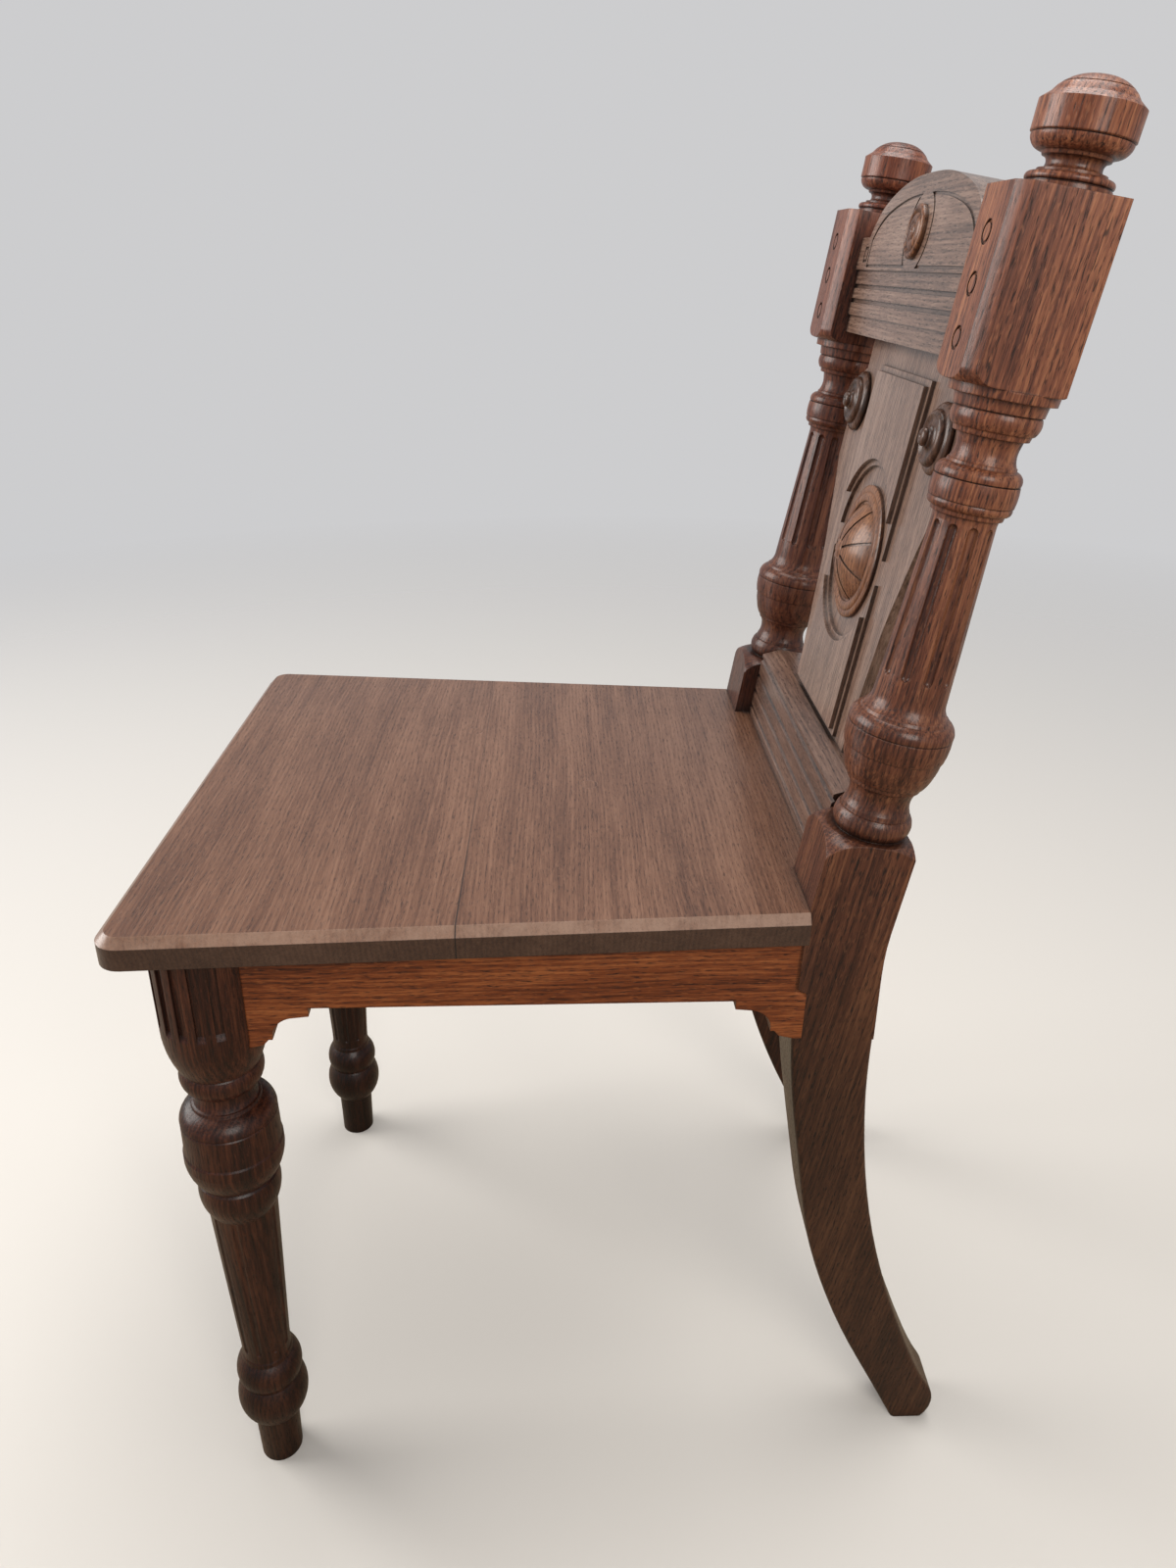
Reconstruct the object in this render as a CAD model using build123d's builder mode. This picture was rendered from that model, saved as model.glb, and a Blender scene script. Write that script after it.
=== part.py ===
from build123d import *
from math import atan2, cos, degrees, radians, sin, sqrt
import os

os.makedirs("parts", exist_ok=True)

# A hall chair in oak. It faces -Y, and +X is the sitter's left. Sizes are in millimetres.

# Seat frame: front legs, rails and seat are square to each other and lean back as one
seat_drop = 40.2
seat_thickness = 18.0
seat_tilt_angle = 1.2
seat_front_width = 406.0
seat_rear_width = 352.0
seat_front_overhang = 44.1
seat_side_overhang = 41.05
seat_post_overhang = 6.35
seat_chamfer = 5.0
seat_corner_radius = 14.0
seat_joint_depth = 143.0
seat_ear_length = 1.2
leg_head_radius = 29.6

# Back: the posts are turned about one leaning line, v up it and u back from it
post_depth = 379.4
post_turning_height = 499.2
post_lean_angle = 9.5
post_width = 48.0
square_offset = 3.0
square_length = 52.0
square_gap = 9.0
pommel_height = 11.0
pommel_radius = 24.0
baluster_height = 231.0
block_height = 79.7
block_offset = 5.0
block_turned_radius = 33.5
block_foot_round = 6.5
block_head_round = 13.0
finial_height = 43.1
finial_radius = 22.0
heel_reach = 94.6
heel_round = 16.0
leg_taper = 16.7
leg_taper_height = 400.0
leg_arris = 3.0
post_chamfer = 3.6
post_chamfer_stop = 20.0
post_chamfer_point = 10.0

# Seat rails and their brackets
rail_height = 41.5
rail_thickness = 22.0
rail_stand_out = 17.8
rear_rail_thickness = 36.0
rear_rail_set_back = 2.0
bracket_length = 35.0
bracket_drop = 27.0
bracket_clear = 2.0

# Tenons, and the room left at the bottom of each mortise
frame_tenon_length = 14.0
frame_tenon_height = 30.0
frame_tenon_thickness = 9.0
back_tenon_length = 24.0
back_tenon_thickness = 10.0
lower_tenon_height = 36.0
top_tenon_height = 44.0
tongue_length = 8.0
tongue_thickness = 6.0
tongue_shoulder = 6.0
mortise_room = 1.0

# Flutes, all cut with a round or a flat cutter
post_flute_count = 10
post_flute_width = 5.0
post_flute_depth = 1.9
post_flute_stop = 10.0
leg_flute_count = 10
leg_flute_width = 4.4
leg_flute_depth = 0.9
head_flute_width = 5.0
head_flute_depth = 1.8
head_flute_length = 56.0
head_flute_ramp = 4.0
head_flute_count = 8
head_flute_spacing_angle = 20.0

# Lower back rail
lower_rail_front = 16.0
lower_rail_back = 17.0
lower_rail_top = 2.5
lower_rail_bevel_drop = 5.5
lower_rail_bevel_width = 12.0
reed_pitch = 12.6
reed_first = 7.0
reed_groove = 2.4
reed_count = 4

# Back panel
panel_thickness = 12.0
panel_front = 1.0
panel_side_gap = 15.65
panel_flare = 36.0
panel_waist_height = 17.0
panel_shoulder_drop = 38.0
panel_neck_step = 17.0
ear_drop = 39.4
ear_radius = 21.0
field_side_margin = 18.0
field_foot_margin = 2.5
field_top_margin = 13.8
field_rise = 4.75
field_step = 2.2
field_step_width = 3.5
roundel_drop = 1.3
roundel_gap_radius = 52.5

# Top rail
top_rail_lift = 7.4
top_rail_height = 56.6
top_rail_front = 15.0
top_rail_back = 12.0
band_height = 10.6
band_set_back = 1.6
groove_first = 19.4
groove_pitch = 8.7
groove_count = 2
groove_width = 2.5
groove_depth = 1.5
arch_board_lift = 37.6
arch_board_rise = 2.0
arch_shoulder_width = 18.65
arch_rise = 30.5
inner_arch_margin = 7.3
inner_arch_drop = 1.0
inner_arch_rise = 21.5
incised_width = 1.6
incised_depth = 1.0
crest_lift = 1.0
crest_gap_radius = 21.0
corner_mark_size = 9.0
corner_mark_drop = 10.0
block_mark_width = 10.5
block_mark_heights = (60.2, 39.4, 17.1)

# Turned ornaments, each with a spigot behind
roundel_radius = 40.7
roundel_rise = 15.0
roundel_spigot = 10.0
roundel_ray_count = 8
roundel_ray_width = 1.6
patera_radius = 18.7
patera_rise = 11.5
patera_spigot = 6.0
crest_patera_radius = 14.0
crest_patera_rise = 4.0
crest_spigot = 4.0
spigot_length = 8.0

# Inside the seat
block_leg = 62.0
corner_block_height = 25.0
screw_inset = 27.0
screw_length = 37.0
screw_diameter = 4.2
screw_head_diameter = 8.4
screw_head_height = 2.4
screw_slot = 1.0
dowel_diameter = 8.0
dowel_length = 36.0
dowel_pitch = 90.0
dowel_count = 4
plug_diameter = 12.0
plug_depth = 6.0
plug_places = ((-78.0, 134.0), (12.0, 217.0))

overrun = 5.0

# Outlines: a row of one point is a straight run, and a row of two an arc through the first
# Front leg, as shares of the leg's height and of its head's radius, from the floor up
front_leg_shares = [
    [(-0.003, 0.473)],
    [(0.093, 0.505)],
    [(0.096, 0.560)],
    [(0.143, 0.797), (0.174, 0.680)],
    [(0.177, 0.655)],
    [(0.204, 0.730), (0.226, 0.600)],
    [(0.229, 0.570)],
    [(0.235, 0.560)],
    [(0.238, 0.539)],
    [(0.254, 0.539)],
    [(0.544, 0.708)],
    [(0.548, 0.735)],
    [(0.576, 0.841), (0.597, 0.812)],
    [(0.600, 0.770)],
    [(0.602, 0.805)],
    [(0.618, 0.929), (0.641, 1.005)],
    [(0.655, 1.000)],
    [(0.658, 0.975)],
    [(0.705, 0.960)],
    [(0.707, 0.940)],
    [(0.710, 0.962)],
    [(0.722, 0.888), (0.731, 0.725)],
    [(0.732, 0.695)],
    [(0.736, 0.675)],
    [(0.737, 0.635)],
    [(0.748, 0.578), (0.762, 0.595)],
    [(0.764, 0.720)],
    [(0.780, 0.820), (0.795, 0.785)],
    [(0.797, 0.765)],
    [(0.798, 0.790)],
    [(0.829, 0.945), (0.864, 1.000)],
    [(1.000, 1.000)],
]

# Back post between its two squares, as shares of the turned height and of half the post's width
baluster_shares = [
    [(0.000, 0.790)],
    [(0.004, 0.813)],
    [(0.028, 0.888), (0.053, 0.817)],
    [(0.054, 0.775)],
    [(0.064, 0.758)],
    [(0.093, 0.696), (0.122, 0.775)],
    [(0.125, 0.821)],
    [(0.135, 0.846)],
    [(0.137, 0.888)],
    [(0.156, 0.975), (0.173, 1.021)],
    [(0.175, 1.030)],
    [(0.193, 1.067), (0.208, 1.079)],
    [(0.209, 1.108)],
    [(0.234, 1.150), (0.260, 1.150)],
    [(0.262, 1.125)],
    [(0.264, 1.150)],
    [(0.284, 1.125), (0.297, 1.017)],
    [(0.298, 0.971)],
    [(0.305, 0.942)],
    [(0.306, 0.917)],
    [(0.320, 0.833), (0.344, 0.790)],
    [(0.736, 0.646)],
    [(0.747, 0.658)],
    [(0.749, 0.725)],
    [(0.758, 0.738)],
    [(0.760, 0.788)],
    [(0.768, 0.842), (0.777, 0.829)],
    [(0.778, 0.854)],
    [(0.799, 0.871), (0.820, 0.854)],
    [(0.821, 0.817)],
    [(0.823, 0.850)],
    [(0.836, 0.846), (0.848, 0.733)],
    [(0.849, 0.692)],
    [(0.855, 0.683)],
    [(0.856, 0.663)],
    [(0.870, 0.613), (0.889, 0.608)],
    [(0.907, 0.642)],
    [(0.909, 0.742)],
    [(0.919, 0.763)],
    [(0.921, 0.808)],
    [(0.937, 0.875), (0.954, 0.858)],
    [(0.957, 0.833)],
    [(0.958, 0.875)],
    [(0.980, 0.904)],
    [(0.982, 1.042)],
    [(1.000, 1.054)],
]
column_low_share = 0.344
column_high_share = 0.733
column_low_radius_share = 0.790
column_high_radius_share = 0.646
shaft_low_share = 0.254
shaft_high_share = 0.544
shaft_low_radius_share = 0.539
shaft_high_radius_share = 0.708

# Finial, as shares of its height and radius
finial_shares = [
    [(0.000, 0.859)],
    [(0.053, 0.845)],
    [(0.058, 0.809)],
    [(0.067, 0.809)],
    [(0.074, 0.845)],
    [(0.109, 0.859), (0.146, 0.755)],
    [(0.151, 0.682)],
    [(0.179, 0.677)],
    [(0.188, 0.573)],
    [(0.239, 0.541), (0.290, 0.600)],
    [(0.299, 0.655)],
    [(0.332, 0.682)],
    [(0.336, 0.727)],
    [(0.397, 0.923), (0.466, 0.968)],
    [(0.473, 0.941)],
    [(0.487, 0.995)],
    [(0.759, 1.000)],
    [(0.826, 0.827)],
    [(0.868, 0.767), (0.903, 0.690)],
    [(0.907, 0.660)],
    [(0.914, 0.665)],
    [(0.962, 0.510), (1.000, 0.100)],
]

# Sabre leg in side view, as shares of the heel's reach behind the turning and of the turning's height
sabre_front_shares = [
    (-0.409, 0.737),
    (-0.352, 0.627),
    (-0.262, 0.519),
    (-0.153, 0.400),
    (0.053, 0.269),
    (0.247, 0.178),
    (0.470, 0.089),
    (0.693, 0.000),
]
sabre_rear_shares = [
    (0.098, 0.748),
    (0.106, 0.668),
    (0.140, 0.584),
    (0.196, 0.504),
    (0.286, 0.415),
    (0.416, 0.321),
    (0.598, 0.218),
    (0.757, 0.140),
    (0.926, 0.072),
]
heel_underside_share = 0.947

# Bracket under a rail, as shares of its length from the post or leg and of its drop
bracket_shares = [
    [(1.000, 0.00)],
    [(1.000, 0.21)],
    [(0.700, 0.25)],
    [(0.475, 0.42), (0.390, 0.79)],
    [(0.325, 0.79)],
    [(0.240, 0.92)],
    [(0.000, 1.00)],
]

# Flare of the back panel from its foot to its shoulder, as shares of its widening and of its height
flare_shares = [(0.125, 0.185), (0.230, 0.385), (0.317, 0.519), (0.483, 0.652), (0.661, 0.793)]

# Arch of the top rail, as shares of half its span and of its rise
arch_shares = [(1.000, 0.000), (0.835, 0.508), (0.650, 0.746), (0.272, 0.973), (0.000, 1.000)]

# Turned ornaments, as shares of their rise and radius
roundel_shares = [
    [(0.000, 1.000)],
    [(0.130, 1.000)],
    [(0.170, 0.975), (0.170, 0.900)],
    [(0.215, 0.885)],
    [(0.255, 0.825), (0.215, 0.765)],
    [(0.150, 0.755)],
    [(0.150, 0.725)],
    [(0.620, 0.500), (0.930, 0.130)],
    [(0.985, 0.070), (1.000, 0.030)],
]
roundel_ray_shares = [[(0.060, 0.742)], [(0.530, 0.512), (0.850, 0.150)]]
patera_shares = [
    [(0.000, 0.965)],
    [(0.120, 1.000), (0.240, 0.965)],
    [(0.300, 0.930)],
    [(0.360, 0.850)],
    [(0.360, 0.790)],
    [(0.560, 0.740), (0.640, 0.640)],
    [(0.560, 0.560)],
    [(0.520, 0.430), (0.700, 0.300)],
    [(0.760, 0.260)],
    [(1.000, 0.170), (0.960, 0.040)],
]
crest_patera_shares = [
    [(0.000, 1.000)],
    [(0.450, 1.000)],
    [(0.800, 0.900), (0.600, 0.780)],
    [(0.420, 0.720)],
    [(0.900, 0.500), (0.700, 0.300)],
    [(1.000, 0.180), (0.850, 0.040)],
]

# Frames. The origin is on the floor, under the middle of the seat's width and the whole depth.
tilt = radians(seat_tilt_angle)
lean = radians(post_lean_angle)
seat_height = post_turning_height - seat_drop
seat_underside = seat_height - seat_thickness
front_edge_depth = seat_underside * sin(tilt) - seat_front_overhang * cos(tilt)
front_foot_y = -(post_depth + heel_reach + front_edge_depth) / 2
post_y = front_foot_y + post_depth
leg_x = seat_front_width / 2 - seat_side_overhang
post_outer_x = seat_rear_width / 2 - seat_post_overhang
post_inner_x = post_outer_x - post_width
post_x = (post_outer_x + post_inner_x) / 2
block_foot = baluster_height - square_gap
top_rail_low = block_foot + top_rail_lift
top_rail_shoulder = top_rail_low + top_rail_height


def placed(plane, x=0.0, y=0.0, z=0.0):
    """A place given in a plane's own axes."""
    return plane.location * Location((x, y, z))


def standing(plane):
    """The plane that stands on another's X axis, with its Y along the other's normal."""
    return Plane(plane.origin, x_dir=plane.x_dir, z_dir=-plane.y_dir)


# The seat plane lies in the tilted frame, and the back base square across the leaning posts
seat_plane = Plane((0, front_foot_y, 0), x_dir=(1, 0, 0), z_dir=(0, sin(tilt), cos(tilt)))
back_base = Plane((0, post_y, post_turning_height), x_dir=(1, 0, 0), z_dir=(0, sin(lean), cos(lean)))
back_plane = standing(back_base)
back_section = Plane(back_base.origin, x_dir=back_base.y_dir, z_dir=(1, 0, 0))
leg_base = Plane(placed(seat_plane, leg_x))
leg_axis = Axis(leg_base.origin, leg_base.z_dir)
post_base = Plane(placed(back_base, post_x))
post_axis = Axis(post_base.origin, post_base.z_dir)
center_min = (Align.CENTER, Align.CENTER, Align.MIN)


def trace(rows, at):
    """Draw an outline through its rows of points and give its first and last point."""
    start = at(*rows[0][0])
    here = start
    for row in rows[1:]:
        if len(row) == 1:
            Line(here, at(*row[0]))
        else:
            ThreePointArc(here, at(*row[0]), at(*row[1]))
        here = at(*row[-1])
    return start, here


def turning(rows, height, radius, foot=0.0):
    """Draw the closed half section of a turning whose axis is the Y axis."""

    def at(up_share, out_share):
        return (out_share * radius, foot + up_share * height)

    start, end = trace(rows, at)
    if end[0]:
        Line(end, (0, end[1]))
    Polyline((0, end[1]), (0, start[1]), start)


def round_flute(base, low, high, width, depth, low_stop=0.0):
    """A round-ended rod that scoops a flute between two (radius, height) points of a turning."""
    rod_radius = (width**2 / 4 + depth**2) / (2 * depth)
    stand_off = rod_radius - depth
    inset = width / 2
    start = base.from_local_coords((low[0] + stand_off, 0, low[1] + inset))
    end = base.from_local_coords((high[0] + stand_off, 0, high[1] - inset))
    start += (end - start).normalized() * low_stop
    run = end - start
    with BuildPart(Plane(start, z_dir=run)) as rod:
        Cylinder(rod_radius, run.length, align=center_min)
        Sphere(rod_radius)
        with Locations((0, 0, run.length)):
            Sphere(rod_radius)
    return rod.part


def tenon(shoulder, reach, height, thickness, mode=Mode.ADD):
    """A tenon that stands out past its shoulder and is rooted as deep in its rail."""
    with Locations(shoulder):
        Box(2 * reach, height, thickness, mode=mode)


def mortise(shoulder, reach, height, thickness):
    """The pocket for a tenon, with room at its bottom."""
    tenon(shoulder, reach + mortise_room, height, thickness, mode=Mode.SUBTRACT)


def side_point(u, v):
    """A point u behind and v up the posts' axis, in the side view."""
    point = back_base.from_local_coords((0, u, v))
    return (point.Y, point.Z)


def sabre_point(back_share, up_share):
    """A point of the sabre leg, in the side view."""
    return (post_y + back_share * heel_reach, up_share * post_turning_height)


# Back post: first the blank of its square and sabre leg, sawn to the side outline and tapered
square_front_u = -(post_width / 2 + square_offset)
square_rear_u = post_width / 2 - square_offset
square_low_v = -(square_gap + square_length)
post_front_low = side_point(square_front_u, square_low_v)
post_rear_low = side_point(square_rear_u, square_low_v)
heel = (post_y + heel_reach, heel_round)
heel_underside = sabre_point(heel_underside_share, 0)
front_curve = [sabre_point(*shares) for shares in sabre_front_shares]
rear_curve = [sabre_point(*shares) for shares in sabre_rear_shares]
down_post = (-sin(lean), -cos(lean))
toe_run = Vector(front_curve[-1]) - Vector(front_curve[-2])

with BuildPart() as post_blank:
    with BuildSketch(Plane.YZ.offset(post_inner_x)):
        with BuildLine():
            Polyline(
                post_rear_low,
                side_point(square_rear_u, -square_gap),
                side_point(square_front_u, -square_gap),
                post_front_low,
            )
            Spline(post_front_low, *front_curve, tangents=(down_post, toe_run))
            Line(front_curve[-1], heel_underside)
            TangentArc(heel, heel_underside, tangent=(0, -1))
            Spline(post_rear_low, *rear_curve, heel, tangents=(down_post, (0, -1)))
        make_face()
    extrude(amount=post_width)
    with BuildSketch(Plane.XZ):
        with BuildLine():
            Polyline(
                (post_outer_x, leg_taper_height),
                (post_outer_x - leg_taper, 0),
                (post_outer_x - leg_taper, -overrun),
                (post_outer_x + overrun, -overrun),
                (post_outer_x + overrun, leg_taper_height),
                close=True,
            )
        make_face()
    extrude(amount=post_y + heel_reach + overrun, both=True, mode=Mode.SUBTRACT)

# The leg's arrises are rounded from the floor to just under the side rail's bracket
bracket_bottom = seat_underside - rail_height - bracket_drop
arris_stop = seat_plane.offset(bracket_bottom - bracket_clear)
with BuildPart() as sabre_leg:
    add(post_blank.part)
    split(bisect_by=arris_stop, keep=Keep.BOTTOM)
    fillet(sabre_leg.edges().filter_by(lambda edge: edge.length > leg_taper_height / 2), leg_arris)

# Above, the square has a turned shoulder and one stopped chamfer on its outer front corner
square_corner_radius = sqrt((post_width / 2) ** 2 + square_front_u**2)
chamfer_plane = Plane(
    placed(post_base, post_width / 2, square_front_u).position,
    x_dir=back_base.y_dir - back_base.x_dir,
    z_dir=-(back_base.x_dir + back_base.y_dir),
)
with BuildPart() as post_square:
    add(post_blank.part)
    split(bisect_by=arris_stop, keep=Keep.TOP)
    with BuildSketch(standing(post_base)):
        with BuildLine():
            shoulder = RadiusArc(
                (pommel_radius, -square_gap),
                (square_corner_radius, -square_gap - pommel_height),
                square_corner_radius / 2,
            )
            Polyline(
                shoulder @ 1,
                (square_corner_radius + overrun, -square_gap - pommel_height),
                (square_corner_radius + overrun, overrun),
                (pommel_radius, overrun),
                shoulder @ 0,
            )
        make_face()
    revolve(axis=post_axis, mode=Mode.SUBTRACT)
    with BuildSketch(chamfer_plane):
        with BuildLine():
            Polyline(
                (0, -post_chamfer_stop),
                (post_chamfer, -post_chamfer_stop - post_chamfer_point),
                (post_chamfer, square_low_v),
                (-overrun, square_low_v),
                (-overrun, -post_chamfer_stop),
                close=True,
            )
        make_face()
    extrude(amount=post_width / 2, both=True, mode=Mode.SUBTRACT)

# Front leg as it leaves the lathe, trimmed flat to the floor
with BuildPart() as turned_leg:
    with BuildSketch(standing(leg_base)):
        with BuildLine():
            turning(front_leg_shares, seat_underside, leg_head_radius)
        make_face()
    revolve(axis=leg_axis)
    split(bisect_by=Plane.XY, keep=Keep.TOP)

# Joints of the seat frame. The side rails run in from the legs to the posts' outer faces.
post_front_depth = seat_plane.to_local_coords(Vector(0, *post_front_low)).Y
side_rail_x = leg_x + rail_stand_out
side_rail_angle = degrees(atan2(side_rail_x - post_outer_x, post_front_depth))
turned_to_rear = Location((0, 0, 0), (0, 0, 90 + side_rail_angle))
stood_up = Location((0, 0, 0), (90, 0, 0))
side_rail_plane = Plane(placed(seat_plane, side_rail_x) * turned_to_rear * stood_up)
front_rail_plane = Plane(placed(seat_plane, 0, -rail_stand_out) * stood_up)
rear_rail_depth = post_front_depth + rear_rail_set_back
rear_rail_plane = Plane(placed(seat_plane, 0, rear_rail_depth) * stood_up)
leg_shoulder = sqrt(leg_head_radius**2 - rail_stand_out**2)
side_rail_length = post_front_depth / cos(radians(side_rail_angle))
rail_middle = seat_underside - rail_height / 2
frame_tenon = (frame_tenon_length, frame_tenon_height, frame_tenon_thickness)
side_front_shoulder = placed(side_rail_plane, leg_shoulder, rail_middle, -rail_thickness / 2)
side_rear_shoulder = placed(side_rail_plane, side_rail_length, rail_middle, -rail_thickness / 2)
front_left_shoulder = placed(front_rail_plane, leg_x - leg_shoulder, rail_middle, -rail_thickness / 2)
front_right_shoulder = placed(front_rail_plane, leg_shoulder - leg_x, rail_middle, -rail_thickness / 2)
rear_left_shoulder = placed(rear_rail_plane, post_inner_x, rail_middle, -rear_rail_thickness / 2)
rear_right_shoulder = placed(rear_rail_plane, -post_inner_x, rail_middle, -rear_rail_thickness / 2)

# Joints of the back
lower_tenon_v = lower_rail_top - lower_rail_bevel_drop - reed_pitch / 2 - lower_tenon_height / 2
top_tenon_v = (top_rail_low + top_rail_shoulder) / 2
lower_tenon = (back_tenon_length, lower_tenon_height, back_tenon_thickness)
top_tenon = (back_tenon_length, top_tenon_height, back_tenon_thickness)
lower_shoulders = [placed(back_plane, x, lower_tenon_v) for x in (post_inner_x, -post_inner_x)]
top_shoulders = [placed(back_plane, x, top_tenon_v) for x in (post_inner_x, -post_inner_x)]

# Front leg, with flutes down the shaft and round the outward half of the head
with BuildPart() as head_flute:
    with BuildSketch(standing(leg_base)):
        with BuildLine():
            Polyline(
                (leg_head_radius, seat_underside - head_flute_length),
                (
                    leg_head_radius - head_flute_depth,
                    seat_underside - head_flute_length + head_flute_ramp,
                ),
                (leg_head_radius - head_flute_depth, seat_underside + overrun),
                (leg_head_radius + overrun, seat_underside + overrun),
                (leg_head_radius + overrun, seat_underside - head_flute_length),
                close=True,
            )
        make_face()
    extrude(amount=head_flute_width / 2, both=True)

leg_flute = round_flute(
    leg_base,
    (shaft_low_radius_share * leg_head_radius, shaft_low_share * seat_underside),
    (shaft_high_radius_share * leg_head_radius, shaft_high_share * seat_underside),
    leg_flute_width,
    leg_flute_depth,
)
leg_flute_angles = [i * 360 / leg_flute_count for i in range(leg_flute_count)]
head_flute_middle = (head_flute_count - 1) / 2
head_flute_angles = [
    (i - head_flute_middle) * head_flute_spacing_angle - 45 for i in range(head_flute_count)
]
with BuildPart() as front_leg_left:
    add(turned_leg.part)
    add([leg_flute.rotate(leg_axis, angle) for angle in leg_flute_angles], mode=Mode.SUBTRACT)
    add([head_flute.part.rotate(leg_axis, angle) for angle in head_flute_angles], mode=Mode.SUBTRACT)
    mortise(side_front_shoulder, *frame_tenon)
    mortise(front_left_shoulder, *frame_tenon)

with BuildPart() as front_leg_right:
    mirror(front_leg_left.part, about=Plane.YZ)

# Back post: the block and finial, the fluted baluster, then the square and sabre leg
finial_foot = block_foot + block_height
column_low = column_low_share * baluster_height - square_gap
column_high = column_high_share * baluster_height - square_gap
post_flute = round_flute(
    post_base,
    (column_low_radius_share * post_width / 2, column_low),
    (column_high_radius_share * post_width / 2, column_high),
    post_flute_width,
    post_flute_depth,
    post_flute_stop,
)
post_flute_angles = [i * 360 / post_flute_count for i in range(post_flute_count)]
block_face = standing(post_base).offset(post_width / 2 + block_offset)

with BuildPart() as back_post_left:
    with BuildSketch(post_base.offset(block_foot)):
        with Locations((0, -block_offset)):
            Rectangle(post_width, post_width)
    extrude(amount=block_height)
    with BuildSketch(standing(post_base)):
        with Locations((0, block_foot)):
            envelope = Rectangle(block_turned_radius, block_height, align=(Align.MIN, Align.MIN))
        outer_corners = envelope.vertices().group_by(Axis.X)[-1].sort_by(Axis.Z)
        fillet(outer_corners[0], block_foot_round)
        fillet(outer_corners[-1], block_head_round)
    revolve(axis=post_axis, mode=Mode.INTERSECT)
    with BuildSketch(standing(post_base)):
        with BuildLine():
            turning(baluster_shares, baluster_height, post_width / 2, -square_gap)
        make_face()
    revolve(axis=post_axis)
    with BuildSketch(standing(post_base)):
        with BuildLine():
            turning(finial_shares, finial_height, finial_radius, finial_foot)
        make_face()
    revolve(axis=post_axis)
    add([post_flute.rotate(post_axis, angle) for angle in post_flute_angles], mode=Mode.SUBTRACT)
    add(post_square.part)
    add(sabre_leg.part)
    with BuildSketch(block_face):
        with Locations([(0, block_foot + height) for height in block_mark_heights]):
            Circle(block_mark_width / 2)
            Circle(block_mark_width / 2 - incised_width, mode=Mode.SUBTRACT)
    extrude(amount=-incised_depth, mode=Mode.SUBTRACT)
    mortise(side_rear_shoulder, *frame_tenon)
    mortise(rear_left_shoulder, *frame_tenon)
    mortise(lower_shoulders[0], *lower_tenon)
    mortise(top_shoulders[0], *top_tenon)

with BuildPart() as back_post_right:
    mirror(back_post_left.part, about=Plane.YZ)


def rail_outline(first_end, first_shoulder, last_shoulder, last_end):
    """Draw a seat rail's face, with a bracket at each shoulder."""
    bottom = seat_underside - rail_height

    def first_bracket(out_share, down_share):
        return (first_shoulder + out_share * bracket_length, bottom - down_share * bracket_drop)

    def last_bracket(out_share, down_share):
        return (last_shoulder - out_share * bracket_length, bottom - down_share * bracket_drop)

    first_inner, first_foot = trace(bracket_shares, first_bracket)
    last_inner, last_foot = trace(bracket_shares, last_bracket)
    Line(first_inner, last_inner)
    Polyline(
        first_foot,
        (first_end, bracket_bottom),
        (first_end, seat_underside),
        (last_end, seat_underside),
        (last_end, bracket_bottom),
        last_foot,
    )


# Seat rails, scribed to the round legs and tenoned at both ends
with BuildPart() as side_rail_left:
    with BuildSketch(side_rail_plane):
        with BuildLine():
            rail_outline(0, leg_shoulder, side_rail_length, side_rail_length + overrun)
        make_face()
    extrude(amount=-rail_thickness)
    add(turned_leg.part, mode=Mode.SUBTRACT)
    add(post_blank.part, mode=Mode.SUBTRACT)
    tenon(side_front_shoulder, *frame_tenon)
    tenon(side_rear_shoulder, *frame_tenon)

with BuildPart() as side_rail_right:
    mirror(side_rail_left.part, about=Plane.YZ)

with BuildPart() as front_rail:
    with BuildSketch(front_rail_plane):
        with BuildLine():
            rail_outline(-leg_x, leg_shoulder - leg_x, leg_x - leg_shoulder, leg_x)
        make_face()
    extrude(amount=-rail_thickness)
    add(turned_leg.part, mode=Mode.SUBTRACT)
    add(mirror(turned_leg.part, about=Plane.YZ, mode=Mode.PRIVATE), mode=Mode.SUBTRACT)
    tenon(front_left_shoulder, *frame_tenon)
    tenon(front_right_shoulder, *frame_tenon)

with BuildPart() as rear_rail:
    with Locations(placed(rear_rail_plane, 0, rail_middle, -rear_rail_thickness / 2)):
        Box(2 * post_inner_x, rail_height, rear_rail_thickness)
    tenon(rear_left_shoulder, *frame_tenon)
    tenon(rear_right_shoulder, *frame_tenon)

# Lower back rail: reeded face, bevelled top, and a groove for the panel's tongue
panel_shoulder_x = post_inner_x - panel_side_gap
panel_foot_x = panel_shoulder_x - panel_flare
tongue_width = 2 * (panel_foot_x - tongue_shoulder)
tongue_middle = panel_front - panel_thickness / 2
lower_rail_foot = -(square_gap + square_length + rail_height)
with BuildPart() as lower_back_rail:
    with BuildSketch(back_section):
        with BuildLine():
            Polyline(
                (-lower_rail_front, lower_rail_foot),
                (-lower_rail_front, lower_rail_top - lower_rail_bevel_drop),
                (-lower_rail_front + lower_rail_bevel_width, lower_rail_top),
                (lower_rail_back, lower_rail_top),
                (lower_rail_back, lower_rail_foot),
                close=True,
            )
        make_face()
        for reed in range(reed_count):
            with Locations((-lower_rail_front, -reed_first - reed * reed_pitch)):
                Rectangle(reed_groove, reed_groove, rotation=45, mode=Mode.SUBTRACT)
    extrude(amount=post_inner_x, both=True)
    split(bisect_by=seat_plane.offset(seat_underside), keep=Keep.TOP)
    with Locations(placed(back_plane, 0, lower_rail_top, tongue_middle)):
        Box(tongue_width, 2 * (tongue_length + mortise_room), tongue_thickness, mode=Mode.SUBTRACT)
    for shoulder in lower_shoulders:
        tenon(shoulder, *lower_tenon)


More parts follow.
